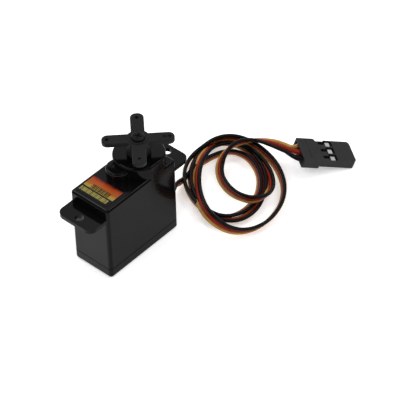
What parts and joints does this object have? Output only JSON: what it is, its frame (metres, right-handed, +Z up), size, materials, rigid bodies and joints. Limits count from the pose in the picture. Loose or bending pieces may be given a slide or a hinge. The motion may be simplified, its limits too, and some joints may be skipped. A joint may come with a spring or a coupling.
{
  "type": "servo motor",
  "caption": "Sub-micro rotary servo: black case with mounting ears, geared output with a cross horn, and a three-wire lead with a socket connector.",
  "frame": {"origin": "middle of the case's underside", "axes": "+X along the case towards the output end, +Y across the case, +Z up along the output axis"},
  "size_m": [0.0777, 0.0347, 0.0303],
  "materials": {
    "case_plastic": "glossy moulding",
    "horn_plastic": "satin moulding",
    "label_film": "printed film",
    "black_steel": "black zinc",
    "steel": "ground",
    "gear_brass": "cut",
    "gear_metal": "cut",
    "motor_can_steel": "nickel plated",
    "motor_plastic": "moulded",
    "spring_copper": "rolled",
    "magnet": "sintered",
    "lamination": "stamped",
    "enamelled_wire": "enamelled",
    "pot_plastic": "moulded",
    "pot_carbon": "printed carbon",
    "board_glass_epoxy": "solder resist",
    "chip_epoxy": "moulded epoxy",
    "resistor_ceramic": "glazed",
    "capacitor_ceramic": "fired",
    "grommet_rubber": "moulded",
    "wire_insulation": "extruded vinyl in black, red and yellow",
    "connector_plastic": "moulded",
    "contact_tin": "tin plated"
  },
  "bodies": {
    "case": {"bottom_cover": "case_plastic", "middle_case": "case_plastic", "gear_cover": "case_plastic", "deck_label": "label_film", "case_screws": "black_steel", "intermediate_pin": "steel", "bearing_outer_ring": "steel", "lower_bush": "gear_brass", "motor_can": "motor_can_steel", "motor_end_cap": "motor_plastic", "motor_terminals": "spring_copper", "motor_brushes": "spring_copper", "motor_magnets": "magnet", "pot_housing": "pot_plastic", "pot_base": "pot_plastic", "pot_track": "pot_carbon", "circuit_board": "board_glass_epoxy", "controller_chip": "chip_epoxy", "driver_chips": "chip_epoxy", "board_resistors": "resistor_ceramic", "board_capacitors": "capacitor_ceramic", "lead_grommet": "grommet_rubber", "lead_tails": "wire_insulation", "pot_wires": "wire_insulation", "lead_near": "wire_insulation", "lead_coil": "wire_insulation", "lead_far": "wire_insulation", "connector_housing": "connector_plastic", "connector_contacts": "contact_tin"},
    "output_gear_and_horn": {"output_shaft": "gear_metal", "bearing_inner_ring": "steel", "horn": "horn_plastic", "horn_screw": "black_steel", "pot_rotor": "pot_plastic"},
    "gear_3": {"gear_3": "gear_metal"},
    "gear_2": {"gear_2": "gear_metal"},
    "gear_1": {"gear_1": "gear_metal"},
    "motor_rotor": {"motor_shaft": "steel", "motor_pinion": "gear_brass", "armature_core": "lamination", "armature_windings": "enamelled_wire", "commutator": "gear_brass"},
    "ball_set": {"bearing_balls": "steel"}
  },
  "joints": [
    {"name": "output_turn", "type": "hinge", "parent": "case", "child": "output_gear_and_horn", "pos_m": [0.00563, 0, 0.02], "axis": [0, 0, 1], "range_deg": [-90, 90]},
    {"name": "gear_3_turn", "type": "hinge", "parent": "case", "child": "gear_3", "pos_m": [0.00016, 0.0012, 0.02], "axis": [0, 0, 1], "range_deg": [-310.01, 310.01]},
    {"name": "gear_2_turn", "type": "hinge", "parent": "case", "child": "gear_2", "pos_m": [0.00563, 0, 0.02], "axis": [0, 0, 1], "range_deg": [-575.72, 575.72]},
    {"name": "gear_1_turn", "type": "hinge", "parent": "case", "child": "gear_1", "pos_m": [0.00016, 0.0012, 0.02], "axis": [0, 0, 1], "range_deg": [-3006.52, 3006.52]},
    {"name": "motor_turn", "type": "hinge", "parent": "case", "child": "motor_rotor", "pos_m": [-0.00418, 0, 0.02], "axis": [0, 0, 1], "range_deg": [-13905.11, 13905.11]},
    {"name": "ball_set_turn", "type": "hinge", "parent": "case", "child": "ball_set", "pos_m": [0.00563, 0, 0.02], "axis": [0, 0, 1], "range_deg": [-38.14, 38.14]}
  ],
  "couplings": [
    {"joint": "gear_3_turn", "follows": "output_turn", "ratio": -3.4444},
    {"joint": "gear_2_turn", "follows": "output_turn", "ratio": 6.3968},
    {"joint": "gear_1_turn", "follows": "output_turn", "ratio": -33.406},
    {"joint": "motor_turn", "follows": "output_turn", "ratio": 154.5},
    {"joint": "ball_set_turn", "follows": "output_turn", "ratio": 0.42364}
  ]
}
